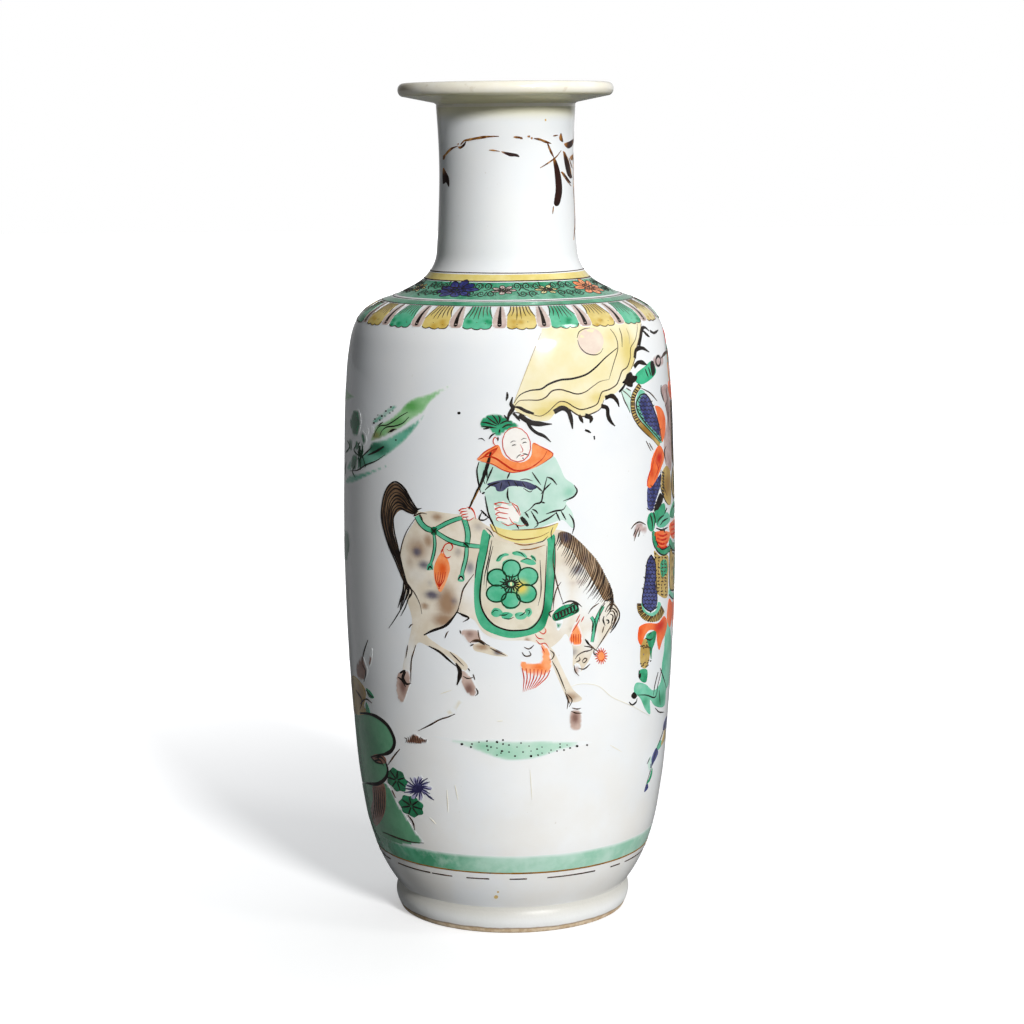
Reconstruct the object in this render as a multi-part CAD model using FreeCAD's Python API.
import FreeCAD, Part
import math
import os
from FreeCAD import Vector

# A rouleau vase: a tall, nearly straight body on a low foot ring, a short flat shoulder, a
# straight neck and a flat everted lip. Such a vase is thrown in sections, which are turned
# down when leather hard and luted to each other with slip. It is then glazed and fired, and
# the overglaze colours are laid on in thin coats and fired again. Each section, each ring of
# slip and each coat that goes right round is a solid of its own.
# All sizes are millimetres. The axis is Z, and the foot rests on Z = 0.

# Foot ring: its rest face and its bulge are measured from the radius of its top
foot_top_radius = 38.3
foot_height = 8.2
foot_rest_inset = 1.3
foot_rest_width = 5.4
foot_edge_bevel = 0.6
foot_bulge = 0.6
foot_bulge_height = 5.1
foot_top_width = 7.5

# Outer line of the walls, each height counted from the one below
heel_lean_angle = 36.0
lower_wall_rise = 106.3
belly_radius = 54.25
upper_wall_rise = 70.0
upper_wall_taper = 2.5
shoulder_rise = 35.0
neck_foot_spread = 0.89
neck_waist_rise = 23.0
neck_waist_radius = 21.66
neck_top_rise = 19.5
neck_top_spread = 0.79
neck_top_lean_angle = 3.5
flattest_arc = 0.0005

# Points that the outer line passes between those: share of the rise, share of the radius
lower_wall_swell = [(0.0687, 0.285), (0.163, 0.527), (0.313, 0.724), (0.54, 0.871)]
upper_wall_swell = [(0.5, 0.18), (0.81, 0.51)]
shoulder_swell = [(0.214, 0.055), (0.351, 0.146), (0.429, 0.279), (0.543, 0.618), (0.657, 0.849), (0.8, 0.967)]
neck_swell = [(0.435, 0.618)]
throat_swell = [(0.46, 0.24)]

# Lip
mouth_neck_height = 0.4
lip_radius = 34.65
lip_thickness = 3.8
lip_underside_rise = 2.8
lip_corner_fillet = 0.8
dish_depth = 2.6
throat_bevel = 1.8

# Wall thicknesses, and where the inside turns: shares of the lower wall, depth below the neck
heel_thickness = 4.6
wall_thickness = 4.2
shoulder_thickness = 4.6
neck_thickness = 4.0
floor_thickness = 4.6
heel_share = 0.2
flank_share = 0.5
neck_root_depth = 11.5

# Slip in the luted joints, and the heights of the joints above the belly
slip_thickness = 0.5
shoulder_joint_rise = 74.0
neck_joint_rise = 100.0

# Glaze and overglaze coats
recess_glaze_thickness = 0.3
enamel_thickness = 0.2

# Overglaze bands: depth of the top one below the neck foot, rise of the lowest above the foot
yellow_band_depth = 9.6
yellow_band_width = 2.2
drawn_line_width = 0.25
brocade_band_width = 5.0
bare_line_width = 0.55
green_line_width = 1.05
collar_depth = 6.0
ground_band_rise = 13.4
ground_band_width = 6.6


def main_points():
    """The turning points of the outer line, as (radius, height)."""
    foot_top = (foot_top_radius, foot_height + slip_thickness)
    belly = (belly_radius, foot_top[1] + lower_wall_rise)
    shoulder_edge = (belly_radius - upper_wall_taper, belly[1] + upper_wall_rise)
    neck_foot = (neck_waist_radius + neck_foot_spread, shoulder_edge[1] + shoulder_rise)
    neck_waist = (neck_waist_radius, neck_foot[1] + neck_waist_rise)
    neck_top = (neck_waist_radius + neck_top_spread, neck_waist[1] + neck_top_rise)
    return foot_top, belly, shoulder_edge, neck_foot, neck_waist, neck_top


foot_top, belly, shoulder_edge, neck_foot, neck_waist, neck_top = main_points()
belly_joint = belly[1]
shoulder_joint = belly[1] + shoulder_joint_rise
neck_joint = belly[1] + neck_joint_rise
mouth_joint = neck_top[1]
floor_top = foot_top[1] + floor_thickness
foot_rest_radius = foot_top_radius - foot_rest_inset
recess_radius = foot_rest_radius - foot_rest_width
recess_top_radius = foot_top_radius - foot_top_width
throat_radius = neck_top[0] - neck_thickness
lip_underside = mouth_joint + slip_thickness + mouth_neck_height
lip_bottom = lip_underside + lip_underside_rise
lip_top = lip_bottom + lip_thickness
far_radius = 3 * max(belly_radius, lip_radius)


def at(radius, height):
    """A point of the section, in the XZ plane."""
    return Vector(radius, 0, height)


def line(start, end):
    return Part.LineSegment(start, end).toShape()


def arc(start, middle, end):
    return Part.Arc(start, middle, end).toShape()


def leaning(degrees):
    """A direction that leans out from the vertical."""
    return Vector(math.sin(math.radians(degrees)), 0, math.cos(math.radians(degrees)))


def shared_points(low, high, shares):
    """Points between two turning points, each at a share of the rise and of the radius."""
    points = []
    for up, out in shares:
        radius = low[0] + out * (high[0] - low[0])
        height = low[1] + up * (high[1] - low[1])
        points.append(at(radius, height))
    return points


def circle_tangent(before, point, after):
    """The direction, at the middle of three points, of the circle through them."""
    arriving = point - before
    leaving = after - point
    tangent = arriving / arriving.dot(arriving) + leaving / leaving.dot(leaving)
    return tangent.normalize()


def tangent_arc(start, tangent, end):
    """The arc that leaves start along a direction and reaches end."""
    chord = end - start
    side = Vector(-chord.z, 0, chord.x)
    turn = math.atan2(tangent.dot(side), tangent.dot(chord))
    if abs(turn) < flattest_arc:
        return line(start, end)
    return arc(start, start + chord / 2 + side * (math.tan(turn / 2) / 2), end)


def arc_pair(start, start_tangent, end, end_tangent):
    """Two arcs that join two points smoothly, each along its own direction."""
    chord = end - start
    both = start_tangent + end_tangent
    spread = 2 * (1 - start_tangent.dot(end_tangent))
    if spread < flattest_arc ** 2:
        reach = chord.dot(chord) / (2 * chord.dot(both))
    else:
        along = chord.dot(both)
        reach = (math.sqrt(along ** 2 + spread * chord.dot(chord)) - along) / spread
    middle = (start + start_tangent * reach + end - end_tangent * reach) / 2
    first = tangent_arc(start, start_tangent, middle)
    second = tangent_arc(end, end_tangent * -1, middle)
    return [first, second]


def make_outer_line(lift=0):
    """The thrown line from the foot ring to the lip, moved out by a lift.

    It is a chain of smooth arc pairs through the named points.
    """
    points = [at(*foot_top)]
    points += shared_points(foot_top, belly, lower_wall_swell)
    points.append(at(*belly))
    points += shared_points(belly, shoulder_edge, upper_wall_swell)
    points.append(at(*shoulder_edge))
    points += shared_points(shoulder_edge, neck_foot, shoulder_swell)
    points.append(at(*neck_foot))
    points += shared_points(neck_foot, neck_waist, neck_swell)
    points.append(at(*neck_waist))
    points += shared_points(neck_waist, neck_top, throat_swell)
    points.append(at(*neck_top))
    tangents = [leaning(heel_lean_angle)]
    for before, point, after in zip(points, points[1:], points[2:]):
        tangents.append(circle_tangent(before, point, after))
    tangents.append(leaning(neck_top_lean_angle))
    lifted = [point + Vector(tangent.z, 0, -tangent.x) * lift for point, tangent in zip(points, tangents)]
    edges = []
    for index in range(len(points) - 1):
        edges += arc_pair(lifted[index], tangents[index], lifted[index + 1], tangents[index + 1])
    return edges


outer_line = make_outer_line()


def outer_radius(height):
    """Where a level line meets the outer line."""
    level = line(at(0, height), at(far_radius, height))
    return Part.Wire(outer_line).distToShape(level)[1][0][0].x


def revolved(edges):
    """A ring from the closed section that the edges bound."""
    wire = Part.Wire(Part.__sortEdges__(edges))
    return Part.Face(wire).revolve(Vector(0, 0, 0), Vector(0, 0, 1), 360)


def disc(radius, low, high):
    return Part.makeCylinder(radius, high - low, Vector(0, 0, low))


def ring(inner, outer, low, high):
    return disc(outer, low, high).cut(disc(inner, low, high))


def inner_radius(height):
    """Where a level line meets the inside of the walls."""
    level = line(at(0, height), at(far_radius, height))
    return Part.makePolygon(inner_line()).distToShape(level)[1][0][0].x


def inner_line():
    """The inside of the walls, from the heel to the throat."""
    heel_height = foot_top[1] + heel_share * lower_wall_rise
    flank_height = foot_top[1] + flank_share * lower_wall_rise
    roof_height = shoulder_joint + shoulder_thickness
    return [
        at(foot_top_radius - heel_thickness, foot_top[1]),
        at(foot_top_radius - heel_thickness, floor_top),
        at(outer_radius(heel_height) - heel_thickness, heel_height),
        at(outer_radius(flank_height) - wall_thickness, flank_height),
        at(belly_radius - wall_thickness, belly[1]),
        at(shoulder_edge[0] - wall_thickness, shoulder_edge[1] - shoulder_thickness),
        at(outer_radius(roof_height) - shoulder_thickness, roof_height),
        at(neck_foot[0] + shoulder_thickness, neck_joint - neck_root_depth),
        at(neck_waist_radius - neck_thickness, neck_joint),
        at(neck_waist_radius - neck_thickness, neck_waist[1]),
        at(throat_radius, mouth_joint),
        at(throat_radius, mouth_joint + slip_thickness),
    ]


def wall_solid():
    """All the walls above the foot ring as one ring, before it is parted at the joints."""
    inside = inner_line()
    top = mouth_joint + slip_thickness
    edges = list(outer_line)
    edges.append(line(at(*neck_top), at(neck_top[0], top)))
    edges.append(line(at(neck_top[0], top), inside[-1]))
    edges += [line(a, b) for a, b in zip(inside, inside[1:])]
    edges.append(line(inside[0], at(*foot_top)))
    return revolved(edges)


def coat_solid():
    """A coat of enamel over the whole outer line, from which the bands are cut."""
    outside = make_outer_line(enamel_thickness)
    edges = list(outer_line) + outside
    edges.append(line(outer_line[0].Vertexes[0].Point, outside[0].Vertexes[0].Point))
    edges.append(line(outer_line[-1].Vertexes[-1].Point, outside[-1].Vertexes[-1].Point))
    return revolved(edges)


def slab(low, high):
    return disc(far_radius, low, high)


def wall_section(low, high):
    """The walls between two heights."""
    return walls.common(slab(low, high))


def make_foot_ring():
    """Turned foot: bevelled rest edge, bulged outside, inside sloped for the turning tool."""
    bevel_top = at(foot_rest_radius + foot_edge_bevel, foot_edge_bevel)
    bulge = at(foot_top_radius + foot_bulge, foot_bulge_height)
    top = at(foot_top_radius, foot_height)
    inner_top = at(recess_top_radius, foot_height)
    inner_bottom = at(recess_radius, 0)
    rest_edge = at(foot_rest_radius, 0)
    edges = [arc(bevel_top, bulge, top)]
    edges.append(line(top, inner_top))
    edges.append(line(inner_top, inner_bottom))
    edges.append(line(inner_bottom, rest_edge))
    edges.append(line(rest_edge, bevel_top))
    return revolved(edges)


def make_base_disc():
    """The floor of the body, let into the heel of the lower wall."""
    return disc(foot_top_radius - heel_thickness, foot_top[1], floor_top)


def slip_ring(joint):
    """Slip between two wall sections: as wide as the narrower of the faces that it joins."""
    low = joint - slip_thickness / 2
    high = joint + slip_thickness / 2
    outer = min(outer_radius(low), outer_radius(high))
    inner = max(inner_radius(low), inner_radius(high))
    return ring(inner, outer, low, high)


def make_mouth_rim():
    """Flat everted lip with a rounded edge and a shallow dish that runs into the throat."""
    start = mouth_joint + slip_thickness
    half = lip_thickness / 2
    underside_in = at(neck_top[0] + lip_corner_fillet, lip_underside)
    edge_low = at(lip_radius - half, lip_bottom)
    edge_mid = at(lip_radius, lip_bottom + half)
    edge_high = at(lip_radius - half, lip_top)
    dish_in = at(throat_radius + throat_bevel, lip_top - dish_depth)
    throat = at(throat_radius, lip_top - dish_depth - throat_bevel)
    neck_side = at(neck_top[0], lip_underside - mouth_neck_height / 2)
    edges = [line(at(throat_radius, start), at(neck_top[0], start))]
    edges.append(line(at(neck_top[0], start), neck_side))
    edges.append(line(neck_side, underside_in))
    edges.append(line(underside_in, edge_low))
    edges.append(arc(edge_low, edge_mid, edge_high))
    edges.append(line(edge_high, dish_in))
    edges.append(line(dish_in, throat))
    edges.append(line(throat, at(throat_radius, start)))
    return revolved(edges)


def enamel_band(low, high):
    """The coat of enamel between two heights."""
    return coat.common(slab(low, high))


def save(name, shape):
    shape.exportStep("parts/" + name + ".step")


walls = wall_solid()
coat = coat_solid()
half_slip = slip_thickness / 2
yellow_high = neck_foot[1] - yellow_band_depth
yellow_low = yellow_high - yellow_band_width
brocade_high = yellow_low - drawn_line_width
brocade_low = brocade_high - brocade_band_width
green_high = brocade_low - bare_line_width
green_low = green_high - green_line_width
collar_low = green_low - collar_depth
ground_low = foot_top[1] + ground_band_rise

parts = {
    "foot_ring": make_foot_ring(),
    "foot_slip": ring(recess_top_radius, foot_top_radius, foot_height, foot_top[1]),
    "base_disc": make_base_disc(),
    "recess_glaze": disc(recess_top_radius, foot_top[1] - recess_glaze_thickness, foot_top[1]),
    "lower_wall": wall_section(foot_top[1], belly_joint - half_slip),
    "belly_slip": slip_ring(belly_joint),
    "upper_wall": wall_section(belly_joint + half_slip, shoulder_joint - half_slip),
    "shoulder_slip": slip_ring(shoulder_joint),
    "shoulder": wall_section(shoulder_joint + half_slip, neck_joint - half_slip),
    "neck_slip": slip_ring(neck_joint),
    "neck": wall_section(neck_joint + half_slip, mouth_joint),
    "mouth_slip": ring(throat_radius, neck_top[0], mouth_joint, mouth_joint + slip_thickness),
    "mouth_rim": make_mouth_rim(),
    "neck_yellow_band": enamel_band(yellow_low, yellow_high),
    "brocade_band": enamel_band(brocade_low, brocade_high),
    "shoulder_green_line": enamel_band(green_low, green_high),
    "petal_collar": enamel_band(collar_low, green_low),
    "ground_band": enamel_band(ground_low, ground_low + ground_band_width),
}

os.makedirs("parts", exist_ok=True)
for name, shape in parts.items():
    save(name, shape)
